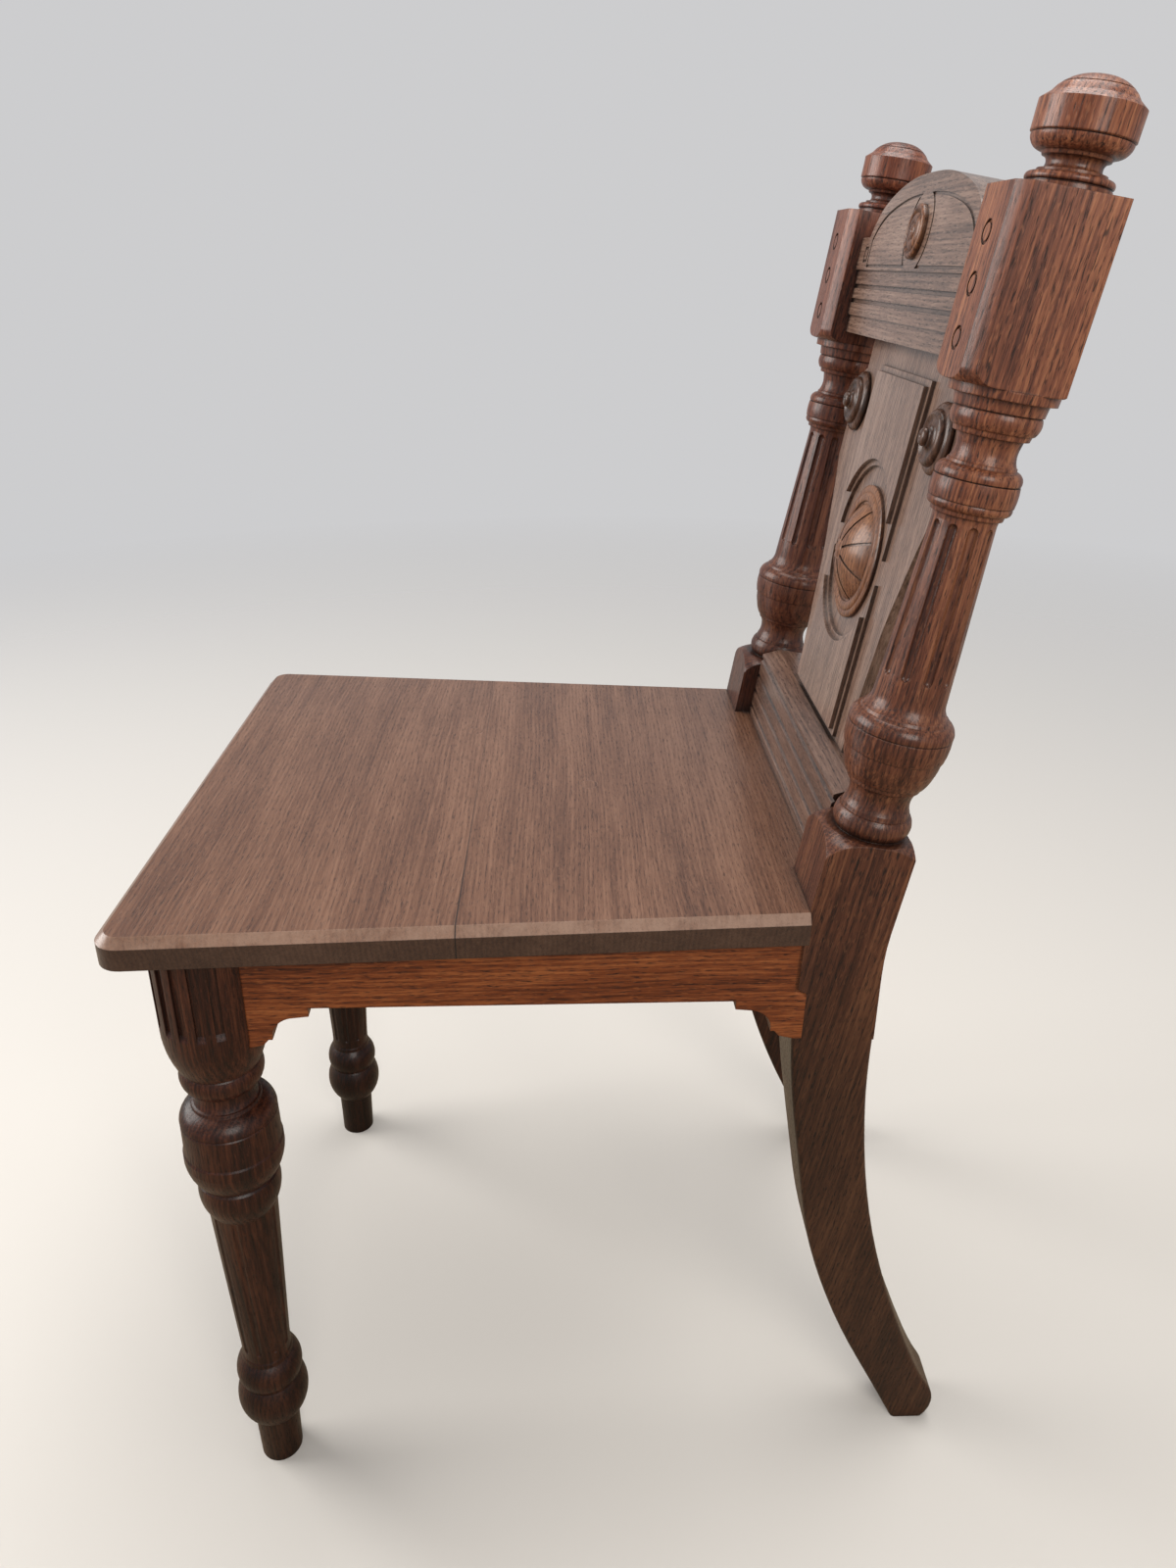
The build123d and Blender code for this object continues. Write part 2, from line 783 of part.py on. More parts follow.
def arch(half_span, foot, rise):
    """Draw the top rail's arch from one foot to the other."""
    half = [(out_share * half_span, foot + up_share * rise) for out_share, up_share in arch_shares]
    mirrored = [(-x, y) for x, y in reversed(half[:-1])]
    Spline(*half, *mirrored)


# Top rail: moulded below, an arched board above with incised lines
arch_x = post_inner_x - arch_shoulder_width
inner_arch_x = arch_x - inner_arch_margin
inner_arch_foot = top_rail_shoulder - inner_arch_drop
arch_board_low = top_rail_low + arch_board_lift
crest_height = top_rail_shoulder + crest_lift
corner_mark_height = top_rail_shoulder - corner_mark_drop
with BuildPart() as top_rail:
    with BuildSketch(back_plane.offset(-top_rail_back)):
        with BuildLine():
            arch(arch_x, top_rail_shoulder, arch_rise)
            Polyline(
                (-arch_x, top_rail_shoulder),
                (-post_inner_x, top_rail_shoulder),
                (-post_inner_x, top_rail_low),
                (post_inner_x, top_rail_low),
                (post_inner_x, top_rail_shoulder),
                (arch_x, top_rail_shoulder),
            )
        make_face()
    extrude(amount=top_rail_back + top_rail_front)
    with BuildSketch(back_plane.offset(top_rail_front)):
        with BuildLine():
            arch(arch_x, top_rail_shoulder, arch_rise)
            Polyline(
                (-arch_x, top_rail_shoulder),
                (-post_inner_x, top_rail_shoulder),
                (-post_inner_x, arch_board_low),
                (post_inner_x, arch_board_low),
                (post_inner_x, top_rail_shoulder),
                (arch_x, top_rail_shoulder),
            )
        make_face()
    extrude(amount=arch_board_rise)
    with Locations(placed(back_plane, 0, top_rail_low + band_height / 2, top_rail_front)):
        Box(2 * post_inner_x, band_height, 2 * band_set_back, mode=Mode.SUBTRACT)
    for groove in range(groove_count):
        groove_v = top_rail_low + groove_first + groove * groove_pitch
        with Locations(placed(back_plane, 0, groove_v, top_rail_front)):
            Box(2 * post_inner_x, groove_width, 2 * groove_depth, mode=Mode.SUBTRACT)
    for inset, mode in ((0, Mode.SUBTRACT), (incised_width, Mode.ADD)):
        with BuildSketch(back_plane.offset(top_rail_front + arch_board_rise)):
            with BuildLine():
                arch(inner_arch_x - inset, inner_arch_foot - inset, inner_arch_rise)
                Polyline(
                    (inset - inner_arch_x, inner_arch_foot - inset),
                    (inset - inner_arch_x, arch_board_low + incised_width + inset),
                    (inner_arch_x - inset, arch_board_low + incised_width + inset),
                    (inner_arch_x - inset, inner_arch_foot - inset),
                )
            make_face()
            with Locations((0, crest_height)):
                Circle(crest_gap_radius + inset, mode=Mode.SUBTRACT)
            with Locations([(side * arch_x, corner_mark_height) for side in (-1, 1)]):
                Rectangle(corner_mark_size - 2 * inset, corner_mark_size - 2 * inset)
        extrude(amount=-incised_depth, mode=mode)
    with Locations(placed(back_plane, 0, top_rail_low, tongue_middle)):
        Box(tongue_width, 2 * (tongue_length + mortise_room), tongue_thickness, mode=Mode.SUBTRACT)
    with Locations(placed(back_plane, 0, crest_height, top_rail_front + arch_board_rise)):
        Cylinder(crest_spigot, 2 * (spigot_length + mortise_room), mode=Mode.SUBTRACT)
    for shoulder in top_shoulders:
        tenon(shoulder, *top_tenon)

# Back panel: a flared board with an ear for each patera, and two raised fields bitten by the roundel
panel_neck_x = panel_shoulder_x - panel_neck_step
ear_x = panel_shoulder_x - ear_radius
ear_height = top_rail_low - ear_drop
ear_top = ear_height + sqrt(ear_radius**2 - (panel_neck_x - ear_x) ** 2)
panel_shoulder_height = ear_height - panel_shoulder_drop
flare_height = panel_shoulder_height - panel_waist_height
flare = [
    (panel_foot_x + out_share * panel_flare, panel_waist_height + up_share * flare_height)
    for out_share, up_share in flare_shares
]
field_x = panel_foot_x - field_side_margin
field_low = lower_rail_top + field_foot_margin
field_high = top_rail_low - field_top_margin
field_middle = (field_low + field_high) / 2
roundel_height = field_middle - roundel_drop
with BuildPart() as back_panel:
    with BuildSketch(back_plane.offset(panel_front - panel_thickness)):
        with BuildLine():
            Polyline(
                (0, lower_rail_top),
                (panel_foot_x, lower_rail_top),
                (panel_foot_x, panel_waist_height),
            )
            Spline(
                (panel_foot_x, panel_waist_height),
                *flare,
                (panel_shoulder_x, panel_shoulder_height),
            )
            Line(
                (panel_shoulder_x, panel_shoulder_height),
                (panel_shoulder_x, ear_height),
            )
            RadiusArc(
                (panel_shoulder_x, ear_height),
                (panel_neck_x, ear_top),
                -ear_radius,
            )
            Polyline(
                (panel_neck_x, ear_top),
                (panel_neck_x, top_rail_low),
                (0, top_rail_low),
            )
            mirror(about=Plane.YZ)
        make_face()
    extrude(amount=panel_thickness)
    for rise, inset in ((field_step, 0), (field_rise, field_step_width)):
        with BuildSketch(back_plane.offset(panel_front)):
            with Locations((0, field_middle)):
                Rectangle(2 * (field_x - inset), field_high - field_low - 2 * inset)
            with Locations((0, roundel_height)):
                Circle(roundel_gap_radius + inset, mode=Mode.SUBTRACT)
        extrude(amount=rise)
    for edge_v in (lower_rail_top, top_rail_low):
        with Locations(placed(back_plane, 0, edge_v, tongue_middle)):
            Box(tongue_width, 2 * tongue_length, tongue_thickness)
    with Locations(placed(back_plane, 0, roundel_height, panel_front)):
        Cylinder(roundel_spigot, 2 * (spigot_length + mortise_room), mode=Mode.SUBTRACT)
    for side in (-1, 1):
        with Locations(placed(back_plane, side * ear_x, ear_height, panel_front)):
            Cylinder(patera_spigot, 2 * (spigot_length + mortise_room), mode=Mode.SUBTRACT)


def ornament_plane(x, v, front):
    """The plane that a turned ornament is planted on."""
    return Plane(placed(back_plane, x, v, front))


# Turned ornaments. The roundel's rays are sawn with a thin blade that follows its dome.
roundel_plane = ornament_plane(0, roundel_height, panel_front)


def roundel_point(up_share, out_share):
    """A point of the roundel's half section."""
    return (out_share * roundel_radius, up_share * roundel_rise)


with BuildPart() as roundel_ray:
    with BuildSketch(standing(roundel_plane)):
        with BuildLine():
            outer, inner = trace(roundel_ray_shares, roundel_point)
            Polyline(
                inner,
                (inner[0], roundel_rise + overrun),
                (outer[0], roundel_rise + overrun),
                outer,
            )
        make_face()
    extrude(amount=roundel_ray_width / 2, both=True)

roundel_axis = Axis(roundel_plane.origin, roundel_plane.z_dir)
ray_angles = [(i + 0.5) * 360 / roundel_ray_count for i in range(roundel_ray_count)]
with BuildPart() as roundel_boss:
    with BuildSketch(standing(roundel_plane)):
        with BuildLine():
            turning(roundel_shares, roundel_rise, roundel_radius)
        make_face()
    revolve(axis=roundel_axis)
    with Locations(roundel_plane.location):
        Cylinder(roundel_spigot, 2 * spigot_length)
    add([roundel_ray.part.rotate(roundel_axis, angle) for angle in ray_angles], mode=Mode.SUBTRACT)

patera_plane = ornament_plane(ear_x, ear_height, panel_front)
with BuildPart(patera_plane) as patera_left:
    with BuildSketch(standing(patera_plane)):
        with BuildLine():
            turning(patera_shares, patera_rise, patera_radius)
        make_face()
    revolve(axis=Axis(patera_plane.origin, patera_plane.z_dir))
    Cylinder(patera_spigot, spigot_length, align=(Align.CENTER, Align.CENTER, Align.MAX))

with BuildPart() as patera_right:
    mirror(patera_left.part, about=Plane.YZ)

crest_plane = ornament_plane(0, crest_height, top_rail_front + arch_board_rise)
with BuildPart(crest_plane) as crest_patera:
    with BuildSketch(standing(crest_plane)):
        with BuildLine():
            turning(crest_patera_shares, crest_patera_rise, crest_patera_radius)
        make_face()
    revolve(axis=Axis(crest_plane.origin, crest_plane.z_dir))
    Cylinder(crest_spigot, spigot_length, align=(Align.CENTER, Align.CENTER, Align.MAX))

# Corner blocks, glued into the seat frame and notched round the legs and posts
block_top = seat_plane.offset(seat_underside)
front_inner_y = rail_thickness - rail_stand_out


def side_inner_x(depth):
    """Where the left side rail's inner face is, that far behind the front legs' axis."""
    run = radians(side_rail_angle)
    return side_rail_x - (rail_thickness + depth * sin(run)) / cos(run)


with BuildPart() as front_block_blank:
    with BuildSketch(block_top):
        with BuildLine():
            Polyline(
                (side_inner_x(front_inner_y), front_inner_y),
                (side_inner_x(front_inner_y + block_leg), front_inner_y + block_leg),
                (side_inner_x(front_inner_y) - block_leg, front_inner_y),
                close=True,
            )
        make_face()
    extrude(amount=-corner_block_height)
    add(turned_leg.part, mode=Mode.SUBTRACT)

with BuildPart() as rear_block_blank:
    with BuildSketch(block_top):
        with BuildLine():
            Polyline(
                (side_inner_x(rear_rail_depth), rear_rail_depth),
                (side_inner_x(rear_rail_depth - block_leg), rear_rail_depth - block_leg),
                (side_inner_x(rear_rail_depth) - block_leg, rear_rail_depth),
                close=True,
            )
        make_face()
    extrude(amount=-corner_block_height)
    add(post_blank.part, mode=Mode.SUBTRACT)

# One screw goes up through each corner block into the seat
screw_bottom = seat_plane.offset(seat_underside - corner_block_height)
screw_front_place = (side_inner_x(0) - screw_inset, front_inner_y + screw_inset)
screw_rear_place = (side_inner_x(rear_rail_depth) - screw_inset, rear_rail_depth - screw_inset)
screw_places = [
    (side * x, y) for x, y in (screw_front_place, screw_rear_place) for side in (1, -1)
]
with BuildPart(screw_bottom) as seat_screws:
    with Locations(screw_places):
        Cylinder(screw_diameter / 2, screw_length, align=center_min)
        Cone(screw_head_diameter / 2, screw_diameter / 2, screw_head_height, align=center_min)
        Box(screw_head_diameter, screw_slot, 2 * screw_slot, mode=Mode.SUBTRACT)

# The screws' holes are cut with the same cones and cylinders, without the slots
with BuildPart(screw_bottom) as screw_holes:
    with Locations(screw_places):
        Cylinder(screw_diameter / 2, screw_length, align=center_min)
        Cone(screw_head_diameter / 2, screw_diameter / 2, screw_head_height, align=center_min)

with BuildPart() as corner_block_front_left:
    add(front_block_blank.part)
    add(screw_holes.part, mode=Mode.SUBTRACT)
with BuildPart() as corner_block_rear_left:
    add(rear_block_blank.part)
    add(screw_holes.part, mode=Mode.SUBTRACT)
with BuildPart() as corner_block_front_right:
    mirror(corner_block_front_left.part, about=Plane.YZ)
with BuildPart() as corner_block_rear_right:
    mirror(corner_block_rear_left.part, about=Plane.YZ)

# Dowels across the seat's glue line, and the plugs in its top
dowel_plane = Plane(placed(seat_plane, 0, seat_joint_depth, seat_underside + seat_thickness / 2) * stood_up)
with BuildPart(dowel_plane) as seat_dowels:
    with GridLocations(dowel_pitch, 0, dowel_count, 1):
        Cylinder(dowel_diameter / 2, dowel_length)

plug_plane = seat_plane.offset(seat_height - plug_depth)
with BuildPart(plug_plane) as seat_plugs:
    with Locations(plug_places):
        Cylinder(plug_diameter / 2, plug_depth, align=center_min)

# Seat: notched round the posts, chamfered in front and at the sides, and cut from two boards
seat_rear_depth = post_front_depth + seat_ear_length
seat_notch_depth = rear_rail_depth + rear_rail_thickness / 2
with BuildPart() as seat_blank:
    with BuildSketch(seat_plane.offset(seat_underside)):
        with BuildLine():
            Polyline(
                (0, -seat_front_overhang),
                (seat_front_width / 2, -seat_front_overhang),
                (seat_rear_width / 2, seat_rear_depth),
                (post_inner_x, seat_rear_depth),
                (post_inner_x, seat_notch_depth),
                (0, seat_notch_depth),
            )
            mirror(about=Plane.YZ)
        seat_face = make_face()
        fillet(seat_face.vertices().group_by(Axis.Y)[0], seat_corner_radius)
    extrude(amount=seat_thickness)
    seat_top = seat_blank.faces().sort_by(Axis(seat_plane.origin, seat_plane.z_dir))[-1]
    shown_edges = seat_top.edges().filter_by(
        lambda edge: seat_plane.to_local_coords(edge.center()).Y < post_front_depth
    )
    chamfer(shown_edges, seat_chamfer)
    add(post_blank.part, mode=Mode.SUBTRACT)
    add(mirror(post_blank.part, about=Plane.YZ, mode=Mode.PRIVATE), mode=Mode.SUBTRACT)
    add(lower_back_rail.part, mode=Mode.SUBTRACT)
    add(screw_holes.part, mode=Mode.SUBTRACT)
    add(seat_plugs.part, mode=Mode.SUBTRACT)
    with Locations(dowel_plane.location):
        with GridLocations(dowel_pitch, 0, dowel_count, 1):
            Cylinder(dowel_diameter / 2, dowel_length + 2 * mortise_room, mode=Mode.SUBTRACT)

seat_joint = Plane(placed(seat_plane, 0, seat_joint_depth) * stood_up)
with BuildPart() as seat_board_front:
    add(seat_blank.part)
    split(bisect_by=seat_joint, keep=Keep.TOP)

with BuildPart() as seat_board_rear:
    add(seat_blank.part)
    split(bisect_by=seat_joint, keep=Keep.BOTTOM)

nodes = {
    "front_leg_left": front_leg_left,
    "front_leg_right": front_leg_right,
    "back_post_left": back_post_left,
    "back_post_right": back_post_right,
    "front_rail": front_rail,
    "rear_rail": rear_rail,
    "side_rail_left": side_rail_left,
    "side_rail_right": side_rail_right,
    "lower_back_rail": lower_back_rail,
    "top_rail": top_rail,
    "back_panel": back_panel,
    "roundel_boss": roundel_boss,
    "patera_left": patera_left,
    "patera_right": patera_right,
    "crest_patera": crest_patera,
    "corner_block_front_left": corner_block_front_left,
    "corner_block_front_right": corner_block_front_right,
    "corner_block_rear_left": corner_block_rear_left,
    "corner_block_rear_right": corner_block_rear_right,
    "seat_screws": seat_screws,
    "seat_dowels": seat_dowels,
    "seat_plugs": seat_plugs,
    "seat_board_front": seat_board_front,
    "seat_board_rear": seat_board_rear,
}
for name, piece in nodes.items():
    piece.part.label = name
    export_step(piece.part, f"parts/{name}.step")
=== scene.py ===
import bpy
from math import pi, radians
from mathutils import Matrix, Vector

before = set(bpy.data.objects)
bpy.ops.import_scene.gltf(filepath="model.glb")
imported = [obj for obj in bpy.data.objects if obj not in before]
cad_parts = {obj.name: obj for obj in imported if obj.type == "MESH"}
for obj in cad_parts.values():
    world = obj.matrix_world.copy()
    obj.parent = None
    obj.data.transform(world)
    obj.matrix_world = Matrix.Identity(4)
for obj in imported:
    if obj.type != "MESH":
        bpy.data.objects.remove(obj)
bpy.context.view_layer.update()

# The photograph's camera in the chair's frame, in metres and radians, with its lens in millimetres
camera_place = Vector((0.6712, -0.0054, 0.7721))
camera_yaw = 0.018
camera_pitch = 0.449
camera_roll = -0.004
camera_lens = 25.0
near_clip = 0.01

# The chair's own lines that materials follow
back_lean = radians(9.5)
seat_joint_y = -0.067
seat_near_x = 0.17

# Grain directions, as turns that bring the grain to the texture's Z axis
grain_turns = {
    "across": (0, -pi / 2, 0),
    "fore_and_aft": (pi / 2, 0, 0),
    "leaning": (back_lean, 0, 0),
    "upright": (0, 0, 0),
}

# Kinds of piece. The stain runs from dark to light in linear colours. Coat is the weight of the
# varnish.
# Worn and pores say how strongly the arrises and the pores show. The last entry is a height, the
# stain's share there, a second height and its share, as painted shade low down and painted light
# high up.
kinds = {
    "seat": {
        "stain": ((0.084, 0.033, 0.017), (0.140, 0.062, 0.034), (0.204, 0.101, 0.060)),
        "roughness": 0.38,
        "coat": 0.80,
        "worn": 0.50,
        "pores": 0.50,
        "painted_light": None,
    },
    "rail": {
        "stain": ((0.058, 0.013, 0.004), (0.170, 0.042, 0.012), (0.320, 0.102, 0.031)),
        "roughness": 0.40,
        "coat": 0.15,
        "worn": 0.30,
        "pores": 0.75,
        "painted_light": None,
    },
    "post": {
        "stain": ((0.046, 0.013, 0.007), (0.135, 0.043, 0.021), (0.270, 0.106, 0.049)),
        "roughness": 0.36,
        "coat": 0.40,
        "worn": 0.15,
        "pores": 0.85,
        "painted_light": (0.32, 0.30, 0.79, 1.50),
    },
    "leg": {
        "stain": ((0.008, 0.002, 0.001), (0.032, 0.008, 0.004), (0.086, 0.026, 0.012)),
        "roughness": 0.34,
        "coat": 0.25,
        "worn": 0.35,
        "pores": 0.75,
        "painted_light": (0.00, 0.42, 0.45, 1.20),
    },
    # The panel's stain is lighter and greyer than its wood, partly as painted sheen and light from
    # the front
    "panel": {
        "stain": ((0.096, 0.049, 0.031), (0.205, 0.116, 0.079), (0.335, 0.212, 0.154)),
        "roughness": 0.40,
        "coat": 1.0,
        "worn": 0.40,
        "pores": 0.60,
        "painted_light": None,
    },
    "roundel": {
        "stain": ((0.050, 0.016, 0.007), (0.165, 0.062, 0.027), (0.300, 0.130, 0.058)),
        "roughness": 0.34,
        "coat": 0.50,
        "worn": 0.30,
        "pores": 0.70,
        "painted_light": None,
    },
    "inside": {
        "stain": ((0.050, 0.024, 0.012), (0.130, 0.070, 0.038), (0.210, 0.125, 0.070)),
        "roughness": 0.60,
        "coat": 0.0,
        "worn": 0.20,
        "pores": 0.60,
        "painted_light": None,
    },
}
# A darker copy of the post's stain for the far post, as painted shade
kinds["painted_shade_post"] = kinds["post"] | {
    "stain": ((0.034, 0.009, 0.005), (0.102, 0.029, 0.015), (0.205, 0.073, 0.036)),
}
kinds["low_rail"] = kinds["panel"] | {
    "stain": ((0.050, 0.024, 0.015), (0.125, 0.064, 0.042), (0.225, 0.130, 0.090)),
}
kinds["patera"] = kinds["roundel"] | {
    "stain": ((0.020, 0.008, 0.004), (0.078, 0.033, 0.018), (0.165, 0.078, 0.046)),
}
# A near-black for dirt in the pores and the seat's joint, and for painted shade in hollows and on
# the seat's sides
dirt_and_shade_colour = (0.008, 0.003, 0.002, 1)
worn_colour = (0.270, 0.165, 0.115, 1)

# Where the dark, middle and light stains stand in the figure's tone
stain_places = (0.26, 0.50, 0.76)

# The middle of a noise, which holds nearly all of its values
noise_low = 0.3
noise_high = 0.7


def set_inputs(tree, node, inputs):
    """Set each of a node's inputs, or link it where the value is another node's output."""
    for key, value in inputs.items():
        if isinstance(value, bpy.types.NodeSocket):
            tree.links.new(value, node.inputs[key])
        else:
            node.inputs[key].default_value = value


def add_node(tree, kind, inputs=None, **settings):
    """Add a node, with its properties and its inputs."""
    node = tree.nodes.new(kind)
    for name, value in settings.items():
        setattr(node, name, value)
    set_inputs(tree, node, inputs or {})
    return node


def maths(tree, operation, first, second=0.0):
    return add_node(tree, "ShaderNodeMath", {0: first, 1: second}, operation=operation).outputs[0]


def times(tree, first, second):
    return maths(tree, "MULTIPLY", first, second)


def vector_maths(tree, operation, first, second):
    inputs = {0: first, 1: second}
    return add_node(tree, "ShaderNodeVectorMath", inputs, operation=operation).outputs[0]


def split(tree, vector):
    return add_node(tree, "ShaderNodeSeparateXYZ", {0: vector}).outputs


def remap(tree, value, low, high, to_low=0.0, to_high=1.0):
    """Stretch a value's range, clamped at both ends."""
    inputs = {0: value, 1: low, 2: high, 3: to_low, 4: to_high}
    return add_node(tree, "ShaderNodeMapRange", inputs).outputs[0]


def mix(tree, factor, first, second, blend_type="MIX"):
    """Mix two colours. The node's colour sockets go by number, because their names repeat."""
    inputs = {0: factor, 6: first, 7: second}
    node = add_node(tree, "ShaderNodeMix", inputs, data_type="RGBA", blend_type=blend_type)
    return node.outputs[2]


def mix_shaders(tree, factor, first, second):
    return add_node(tree, "ShaderNodeMixShader", {0: factor, 1: first, 2: second}).outputs[0]


def stretched(tree, vector, share):
    """Shorten a vector along the grain to a share, so that what is drawn on it runs long."""
    return vector_maths(tree, "MULTIPLY", vector, (1, 1, share))


def noise(tree, vector, scale, detail=2.0, roughness=0.5):
    inputs = {"Vector": vector, "Scale": scale, "Detail": detail, "Roughness": roughness}
    return add_node(tree, "ShaderNodeTexNoise", inputs).outputs["Fac"]


def new_group(name, inputs, outputs):
    """An empty shader group, its inputs by name, and the node that takes its results.
    Each socket is given as its name and its type: Float, Vector or Color."""
    tree = bpy.data.node_groups.new(name, "ShaderNodeTree")
    for label, kind in inputs.items():
        tree.interface.new_socket(label, in_out="INPUT", socket_type=f"NodeSocket{kind}")
    for label, kind in outputs.items():
        tree.interface.new_socket(label, in_out="OUTPUT", socket_type=f"NodeSocket{kind}")
    return tree, tree.nodes.new("NodeGroupInput").outputs, tree.nodes.new("NodeGroupOutput")


def use_group(tree, group, inputs):
    """Put a shader group in a material, and return its outputs."""
    return add_node(tree, "ShaderNodeGroup", inputs, node_tree=group).outputs


def new_material(name):
    """A material with its node tree, its shader and the place of each point on the piece."""
    material = bpy.data.materials.new(name)
    material.use_nodes = True
    tree = material.node_tree
    place = add_node(tree, "ShaderNodeTexCoord").outputs["Object"]
    return material, tree, tree.nodes["Principled BSDF"], place


def swayed_grain(tree, vector):
    """Bend straight grain a little, as a tree grows."""
    sway_along_share = 0.30
    sway_scale = 8.0
    sway_reach = 0.016
    drift = add_node(
        tree,
        "ShaderNodeTexNoise",
        {"Vector": stretched(tree, vector, sway_along_share), "Scale": sway_scale},
    ).outputs["Color"]
    centred = vector_maths(tree, "SUBTRACT", drift, (0.5, 0.5, 0.5))
    sway = vector_maths(tree, "MULTIPLY", centred, (sway_reach, sway_reach, sway_reach))
    return vector_maths(tree, "ADD", vector, sway)


# Layers of noise in the oak: share of the grain's length left, scale, detail and roughness
figure_layers = {
    "fibre": (0.05, 900.0, 3.0, 0.6),
    "streak": (0.03, 210.0, 4.0, 0.6),
    "broad": (0.12, 34.0, 4.0, 0.6),
    "pores": (0.11, 1500.0, 1.0, 0.5),
    "flecks": (0.30, 620.0, 1.0, 0.5),
}

# How much each layer gives to the tone of the stain
tone_weights = {"rings": 0.12, "fibre": 0.30, "streak": 0.27, "broad": 0.31}


def oak_figure_group():
    """Fine rings, fibre, short open pores and pale flecks of oak whose grain runs along Z."""
    tree, given, result = new_group(
        "oak_figure",
        {"Vector": "Vector", "Ring Scale": "Float"},
        {"Tone": "Float", "Pores": "Float", "Flecks": "Float", "Height": "Float"},
    )
    grain = swayed_grain(tree, given["Vector"])
    layers = {}
    for name, (along_share, *settings) in figure_layers.items():
        layers[name] = noise(tree, stretched(tree, grain, along_share), *settings)
    for name in ("fibre", "streak", "broad"):
        layers[name] = remap(tree, layers[name], noise_low, noise_high)

    ring_along_share = 0.04
    layers["rings"] = add_node(
        tree,
        "ShaderNodeTexWave",
        {
            "Vector": stretched(tree, grain, ring_along_share),
            "Scale": given["Ring Scale"],
            "Distortion": 5.0,
            "Detail": 3.0,
            "Detail Scale": 0.7,
            "Detail Roughness": 0.7,
        },
        wave_type="RINGS",
        rings_direction="Z",
    ).outputs["Fac"]

    # The pores are fewest in the late wood, where the rings are high
    pore_low = 0.56
    pore_high = 0.66
    early_ring = 0.2
    late_ring = 0.8
    late_pore_share = 0.45
    porous = remap(tree, layers["rings"], late_ring, early_ring, late_pore_share)
    pores = times(tree, remap(tree, layers["pores"], pore_low, pore_high), porous)
    fleck_low = 0.62
    fleck_high = 0.70
    flecks = remap(tree, layers["flecks"], fleck_low, fleck_high)

    tone = 0.0
    for name, weight in tone_weights.items():
        tone = maths(tree, "ADD", tone, times(tree, layers[name], weight))
    fibre_height = 0.4
    ring_height = 0.2
    height = times(tree, layers["fibre"], fibre_height)
    height = maths(tree, "ADD", height, times(tree, layers["rings"], ring_height))
    height = maths(tree, "SUBTRACT", height, pores)
    set_inputs(tree, result, {"Tone": tone, "Pores": pores, "Flecks": flecks, "Height": height})
    return tree


def edge_wear_and_shade_group():
    """Softened normals, patchy wear on the arrises they round, and a mask of dirt and painted
    shade in hollows and where parts meet.
    """
    tree, given, result = new_group(
        "edge_wear_and_shade",
        {"Vector": "Vector", "Radius": "Float", "Depth": "Float"},
        {"Normal": "Vector", "Wear": "Float", "Hollow Shade And Dirt": "Float"},
    )
    softened = add_node(
        tree, "ShaderNodeBevel", {"Radius": given["Radius"]}, samples=6
    ).outputs["Normal"]
    flat = add_node(tree, "ShaderNodeNewGeometry").outputs["Normal"]
    agreement = add_node(
        tree, "ShaderNodeVectorMath", {0: softened, 1: flat}, operation="DOT_PRODUCT"
    ).outputs["Value"]
    face_agreement = 0.995
    arris_agreement = 0.90
    arris = remap(tree, agreement, face_agreement, arris_agreement)

    patch_scale = 45.0
    patch_detail = 4.0
    patch_low = 0.35
    patch_high = 0.65
    patches = noise(tree, given["Vector"], patch_scale, patch_detail)
    wear = times(tree, arris, remap(tree, patches, patch_low, patch_high))

    # Dirt and painted shade in hollows and where parts meet, from ambient occlusion
    unshaded_sky = 0.85
    shaded_sky = 0.35
    open_sky = add_node(
        tree, "ShaderNodeAmbientOcclusion", {"Distance": given["Depth"]}, samples=8
    ).outputs["AO"]
    hollow_shade_and_dirt = remap(tree, open_sky, unshaded_sky, shaded_sky)
    set_inputs(tree, result, {"Normal": softened, "Wear": wear, "Hollow Shade And Dirt": hollow_shade_and_dirt})
    return tree


def painted_light_group():
    """A colour that is darkened by height as painted shade low down, and lightened as painted
    light high up.
    """
    tree, given, result = new_group(
        "painted_light_by_height",
        {
            "Vector": "Vector",
            "Color": "Color",
            "Low": "Float",
            "Low Share": "Float",
            "High": "Float",
            "High Share": "Float",
        },
        {"Color": "Color"},
    )
    height = split(tree, given["Vector"])["Z"]
    ends = (given[label] for label in ("Low", "High", "Low Share", "High Share"))
    share = remap(tree, height, *ends)
    set_inputs(tree, result, {"Color": mix(tree, 1.0, given["Color"], share, "MULTIPLY")})
    return tree


def polish_group():
    """Roughness that hands have changed in patches, and that is higher in the pores."""
    polish_scale = 14.0
    polish_detail = 4.0
    most_polished = -0.06
    least_polished = 0.10
    pore_roughness = 0.25
    tree, given, result = new_group(
        "rubbed_polish",
        {"Vector": "Vector", "Roughness": "Float", "Pores": "Float"},
        {"Roughness": "Float"},
    )
    rubbed = noise(tree, given["Vector"], polish_scale, polish_detail)
    uneven = remap(tree, rubbed, noise_low, noise_high, most_polished, least_polished)
    roughness = maths(tree, "ADD", uneven, given["Roughness"])
    roughness = maths(tree, "ADD", roughness, times(tree, given["Pores"], pore_roughness))
    set_inputs(tree, result, {"Roughness": roughness})
    return tree


